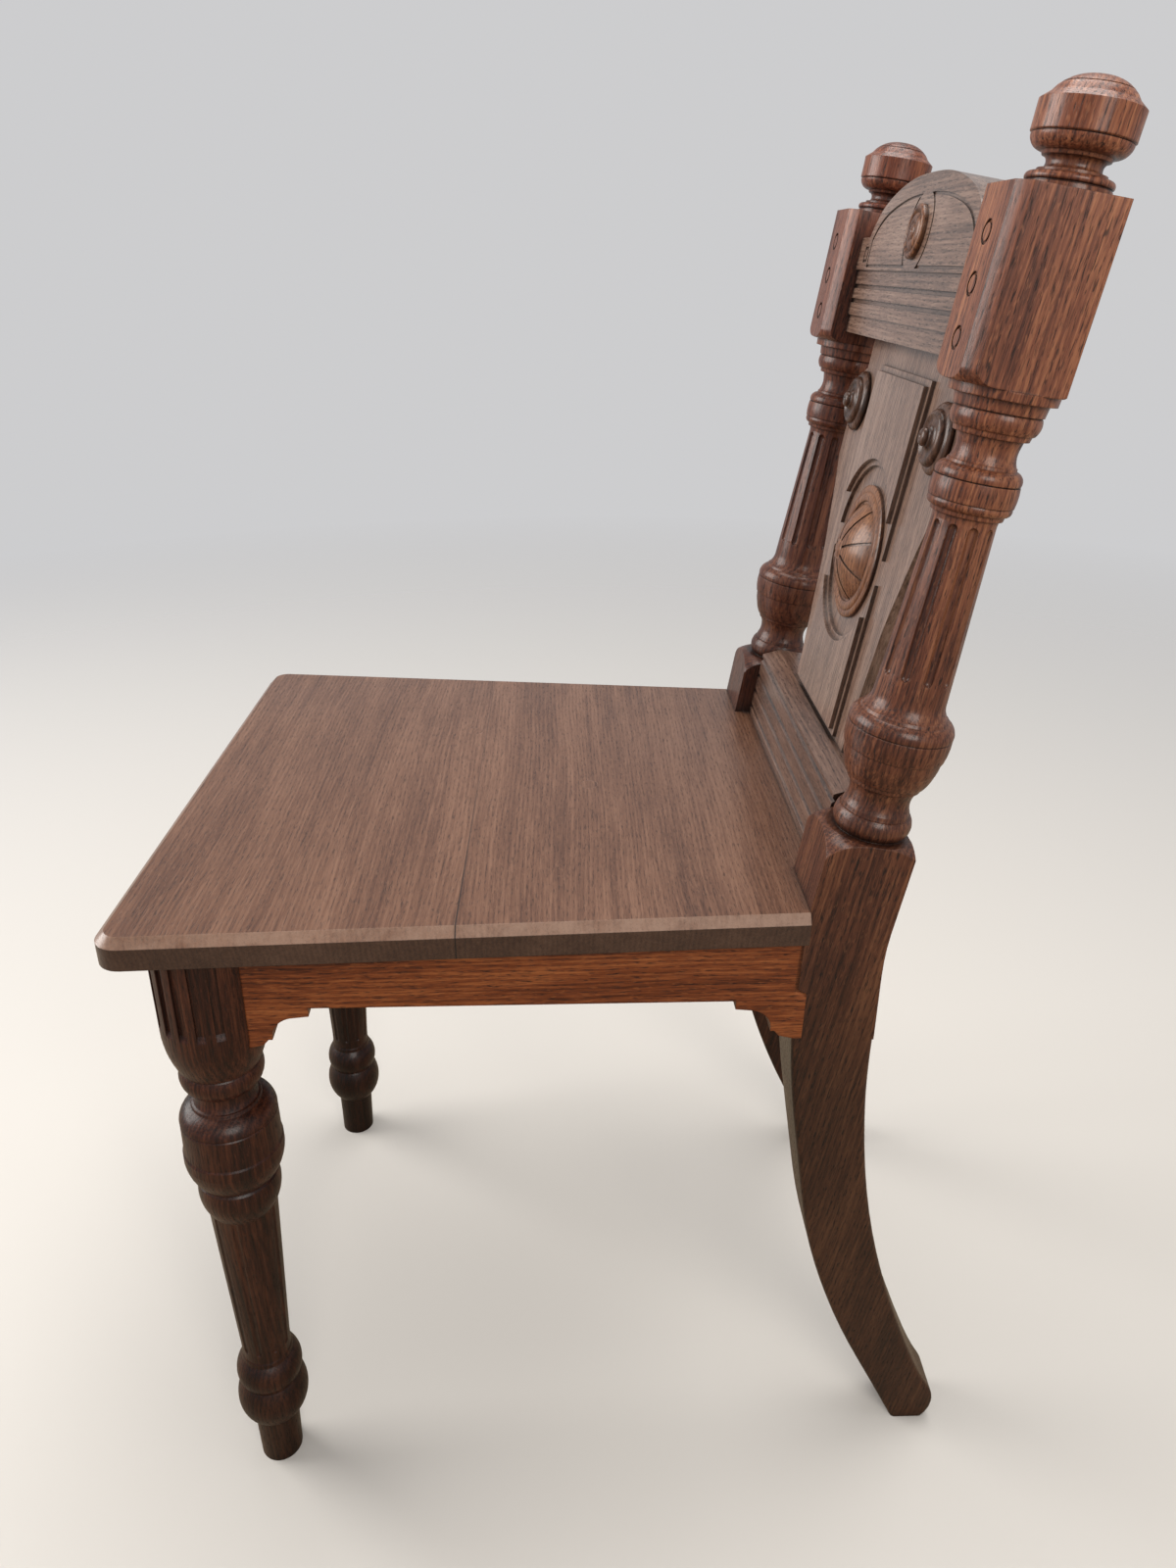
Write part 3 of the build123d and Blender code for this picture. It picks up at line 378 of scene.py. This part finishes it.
def seat_marks_and_shade_group():
    """The seat's pale worn chamfer, painted shade on its sides and underside, and the line where
    its two boards meet.
    """
    tree, given, result = new_group(
        "seat_marks_and_shade", {"Vector": "Vector", "Color": "Color"}, {"Color": "Color"}
    )

    # How far up the normals point, from the top over the chamfer to the sides
    top_up = 0.95
    chamfer_high_up = 0.90
    chamfer_low_up = 0.55
    side_high_up = 0.45
    side_low_up = 0.35
    up = split(tree, add_node(tree, "ShaderNodeNewGeometry").outputs["Normal"])["Z"]
    below_top = remap(tree, up, top_up, chamfer_high_up)
    above_side = remap(tree, up, side_high_up, chamfer_low_up)
    chamfer = times(tree, below_top, above_side)

    scuff_scale = 60.0
    scuff_detail = 5.0
    scuff_roughness = 0.7
    scuff_low = 0.35
    scuff_high = 0.6
    least_scuffed = 0.25
    most_scuffed = 0.80
    rubs = noise(tree, given["Vector"], scuff_scale, scuff_detail, scuff_roughness)
    scuffed = remap(tree, rubs, scuff_low, scuff_high, least_scuffed, most_scuffed)
    colour = mix(tree, times(tree, chamfer, scuffed), given["Color"], worn_colour)

    # Painted shade on the seat's sides and underside, which face away from the light above
    side_shade_strength = 0.65
    side_shade = remap(tree, up, side_high_up, side_low_up, 0.0, side_shade_strength)
    colour = mix(tree, side_shade, colour, dirt_and_shade_colour)

    # The joint's line is darker towards the side that the photograph's camera sees
    line_core = 0.0002
    line_edge = 0.0006
    middle_dirt = 0.15
    near_dirt = 0.9
    across, along, _ = split(tree, given["Vector"])
    off_joint = maths(tree, "ABSOLUTE", maths(tree, "SUBTRACT", along, seat_joint_y))
    line = remap(tree, off_joint, line_edge, line_core)
    line_dirt = remap(tree, across, 0.0, seat_near_x, middle_dirt, near_dirt)
    colour = mix(tree, times(tree, line, line_dirt), colour, dirt_and_shade_colour)
    set_inputs(tree, result, {"Color": colour})
    return tree


oak_figure = oak_figure_group()
edge_wear_and_shade = edge_wear_and_shade_group()
painted_light_by_height = painted_light_group()
rubbed_polish = polish_group()
seat_marks_and_shade = seat_marks_and_shade_group()


def stained(tree, tone, stain):
    """Colour a tone with a stain's dark, middle and light."""
    ramp = add_node(tree, "ShaderNodeValToRGB", {"Fac": tone})
    elements = ramp.color_ramp.elements
    elements.new(stain_places[1])
    for element, where, colour in zip(elements, stain_places, stain):
        element.position = where
        element.color = (*colour, 1)
    return ramp.outputs["Color"]


def oak_material(name, kind, grain, from_heart, marks_and_shade):
    """Varnished oak. from_heart is the step from the tree's heart to the chair's origin, in metres
    with Z along the grain. The marks group, or None, adds marks and painted shade to some pieces
    only."""
    fleck_strength = 0.35
    hollow_shade_and_dirt_strength = 0.85
    material, tree, shader, place = new_material(name)
    turned = add_node(
        tree,
        "ShaderNodeMapping",
        {"Vector": place, "Location": from_heart, "Rotation": grain_turns[grain]},
    ).outputs[0]
    figure = use_group(tree, oak_figure, {"Vector": turned, "Ring Scale": 110.0})
    edges = use_group(tree, edge_wear_and_shade, {"Vector": place, "Radius": 0.0012, "Depth": 0.010})

    light_stain = (*kind["stain"][-1], 1)
    colour = stained(tree, figure["Tone"], kind["stain"])
    colour = mix(tree, times(tree, figure["Flecks"], fleck_strength), colour, light_stain)
    colour = mix(tree, times(tree, figure["Pores"], kind["pores"]), colour, dirt_and_shade_colour)
    # Painted shade low on the legs and posts, and painted light high on them
    if kind["painted_light"]:
        low, low_share, high, high_share = kind["painted_light"]
        colour = use_group(
            tree,
            painted_light_by_height,
            {
                "Vector": place,
                "Color": colour,
                "Low": low,
                "Low Share": low_share,
                "High": high,
                "High Share": high_share,
            },
        )["Color"]
    colour = mix(tree, times(tree, edges["Wear"], kind["worn"]), colour, light_stain)
    # Dirt and painted shade in hollows and where parts meet
    colour = mix(tree, times(tree, edges["Hollow Shade And Dirt"], hollow_shade_and_dirt_strength), colour, dirt_and_shade_colour)
    if marks_and_shade:
        colour = use_group(tree, marks_and_shade, {"Vector": place, "Color": colour})["Color"]

    roughness = use_group(
        tree,
        rubbed_polish,
        {"Vector": place, "Roughness": kind["roughness"], "Pores": figure["Pores"]},
    )["Roughness"]
    bump = add_node(
        tree,
        "ShaderNodeBump",
        {
            "Height": figure["Height"],
            "Normal": edges["Normal"],
            "Strength": 0.45,
            "Distance": 0.0003,
        },
    ).outputs["Normal"]
    set_inputs(
        tree,
        shader,
        {
            "Base Color": colour,
            "Roughness": roughness,
            "Normal": bump,
            "Specular IOR Level": 0.2,
            "Coat Weight": kind["coat"],
            "Coat Roughness": 0.24,
        },
    )
    return material


def steel_material(name):
    """Dull screw steel with fine turned scratches and a little rust."""
    steel_colour = (0.32, 0.31, 0.29, 1)
    rust_colour = (0.11, 0.05, 0.03, 1)
    rust_scale = 400.0
    rust_detail = 4.0
    rust_low = 0.45
    rust_high = 0.65
    clean_roughness = 0.35
    rusty_roughness = 0.8
    scratch_along_share = 0.1
    scratch_scale = 2500.0
    material, tree, shader, place = new_material(name)
    rust = remap(tree, noise(tree, place, rust_scale, rust_detail), rust_low, rust_high)
    scratches = noise(tree, stretched(tree, place, scratch_along_share), scratch_scale)
    bump = add_node(
        tree, "ShaderNodeBump", {"Height": scratches, "Strength": 0.3, "Distance": 0.0001}
    ).outputs["Normal"]
    set_inputs(
        tree,
        shader,
        {
            "Base Color": mix(tree, rust, steel_colour, rust_colour),
            "Roughness": remap(tree, rust, 0.0, 1.0, clean_roughness, rusty_roughness),
            "Normal": bump,
            "Metallic": 0.9,
        },
    )
    return material


# Each oak node's kind, its grain and the step from its tree's heart to the chair's origin
oak_looks = {
    "front_leg_left": ("leg", "upright", (-0.16, 0.25, 0.1)),
    "front_leg_right": ("leg", "upright", (0.20, 0.27, 0.4)),
    "back_post_left": ("post", "leaning", (-0.12, -0.02, 0.0)),
    "back_post_right": ("painted_shade_post", "leaning", (0.19, -0.05, 0.7)),
    "front_rail": ("rail", "across", (0.3, 0.30, 0.2)),
    "rear_rail": ("rail", "across", (0.3, -0.10, 0.6)),
    "side_rail_left": ("rail", "fore_and_aft", (-0.20, 0.37, 0.3)),
    "side_rail_right": ("rail", "fore_and_aft", (0.20, 0.36, 0.9)),
    "lower_back_rail": ("low_rail", "across", (0.5, -0.06, 0.5)),
    "top_rail": ("panel", "across", (0.4, -0.14, 0.8)),
    "back_panel": ("panel", "leaning", (0.30, -0.05, 0.3)),
    "roundel_boss": ("roundel", "leaning", (0.05, -0.02, 0.9)),
    "patera_left": ("patera", "leaning", (0.02, -0.04, 0.2)),
    "patera_right": ("patera", "leaning", (0.17, -0.03, 0.5)),
    "crest_patera": ("roundel", "leaning", (0.03, -0.05, 0.1)),
    "corner_block_front_left": ("inside", "across", (0.2, 0.1, 0.1)),
    "corner_block_front_right": ("inside", "across", (0.2, 0.1, 0.5)),
    "corner_block_rear_left": ("inside", "across", (0.2, -0.3, 0.3)),
    "corner_block_rear_right": ("inside", "across", (0.2, -0.3, 0.7)),
    "seat_board_front": ("seat", "across", (0.4, 0.62, 0.2)),
    "seat_board_rear": ("seat", "across", (0.4, -0.75, 0.6)),
    "seat_dowels": ("inside", "fore_and_aft", (0.1, 0.3, 0.4)),
    "seat_plugs": ("seat", "across", (0.46, 0.33, 0.9)),
}


def dress(node, material):
    """Give a CAD node one material."""
    slots = bpy.data.objects[node].data.materials
    slots.clear()
    slots.append(material)


for node, (kind_name, grain, from_heart) in oak_looks.items():
    marks_and_shade = seat_marks_and_shade if kind_name == "seat" else None
    dress(node, oak_material(f"oak_{node}", kinds[kind_name], grain, from_heart, marks_and_shade))
dress("seat_screws", steel_material("screw_steel"))

# Plain pale floor, which fades out into the pale world. It looks darker and warmer to every ray
# but the camera's, which keeps pale glare off the legs.
floor_seen_colour = (0.62, 0.59, 0.55, 1)
floor_lit_colour = (0.26, 0.20, 0.13, 1)
floor_reach = 12.0
fade_start = 0.5
fade_end = 3.0


def plain_floor():
    """A wide sheet under the chair's feet, which grows clear with distance from the chair."""
    mesh = bpy.data.meshes.new("floor")
    mesh.from_pydata(
        [
            (-floor_reach, -floor_reach, 0),
            (floor_reach, -floor_reach, 0),
            (floor_reach, floor_reach, 0),
            (-floor_reach, floor_reach, 0),
        ],
        [],
        [(0, 1, 2, 3)],
    )
    floor = bpy.data.objects.new("floor", mesh)
    bpy.context.scene.collection.objects.link(floor)
    material, tree, shader, place = new_material("pale_floor")
    seen = add_node(tree, "ShaderNodeLightPath").outputs["Is Camera Ray"]
    colour = mix(tree, seen, floor_lit_colour, floor_seen_colour)
    set_inputs(tree, shader, {"Base Color": colour, "Roughness": 0.7})
    away = add_node(
        tree, "ShaderNodeVectorMath", {0: place}, operation="LENGTH"
    ).outputs["Value"]
    fade = remap(tree, away, fade_start, fade_end)
    clear = add_node(tree, "ShaderNodeBsdfTransparent").outputs[0]
    faded = mix_shaders(tree, fade, shader.outputs[0], clear)
    set_inputs(tree, tree.nodes["Material Output"], {"Surface": faded})
    mesh.materials.append(material)


plain_floor()

# Soft studio lights, in metres and watts: place, size, power and colour
chair_middle = Vector((0, 0, 0.45))
studio_lights = {
    "front_light": ((-0.6, -2.6, 1.7), 2.0, 82, (1.0, 0.98, 0.95)),
    "overhead_light": ((-0.4, 0.4, 2.8), 1.8, 44, (1.0, 0.98, 0.95)),
    "side_light": ((2.6, 0.8, 1.9), 1.6, 50, (1.0, 0.96, 0.90)),
}


def area_light(name, place, size, power, colour):
    """A square lamp that faces the middle of the chair."""
    data = bpy.data.lights.new(name, "AREA")
    data.shape = "SQUARE"
    data.size = size
    data.energy = power
    data.color = colour
    light = bpy.data.objects.new(name, data)
    light.location = place
    light.rotation_euler = (chair_middle - Vector(place)).to_track_quat("-Z", "Y").to_euler()
    bpy.context.scene.collection.objects.link(light)


for name, (place, size, power, colour) in studio_lights.items():
    area_light(name, place, size, power, colour)


def pale_world():
    """Even light on the chair, and a pale backdrop that only the camera sees."""
    world = bpy.data.worlds.new("pale_world")
    world.use_nodes = True
    tree = world.node_tree
    light = tree.nodes["Background"]
    set_inputs(tree, light, {"Color": (0.40, 0.40, 0.41, 1)})
    backdrop = add_node(tree, "ShaderNodeBackground", {"Color": (0.61, 0.61, 0.62, 1)})
    seen = add_node(tree, "ShaderNodeLightPath").outputs["Is Camera Ray"]
    both = mix_shaders(tree, seen, light.outputs[0], backdrop.outputs[0])
    set_inputs(tree, tree.nodes["World Output"], {"Surface": both})
    bpy.context.scene.world = world


pale_world()
bpy.context.scene.view_settings.view_transform = "Standard"


def photo_camera():
    """A camera at the photograph's place, which faces -X apart from its yaw and pitch."""
    data = bpy.data.cameras.new("photo_camera")
    data.lens = camera_lens
    data.clip_start = near_clip
    camera = bpy.data.objects.new("photo_camera", data)
    turned = Matrix.Rotation(pi / 2 - camera_yaw, 4, "Z")
    tipped = Matrix.Rotation(pi / 2 - camera_pitch, 4, "X")
    rolled = Matrix.Rotation(camera_roll, 4, "Z")
    camera.matrix_world = Matrix.Translation(camera_place) @ turned @ tipped @ rolled
    bpy.context.scene.collection.objects.link(camera)
    bpy.context.scene.camera = camera


photo_camera()
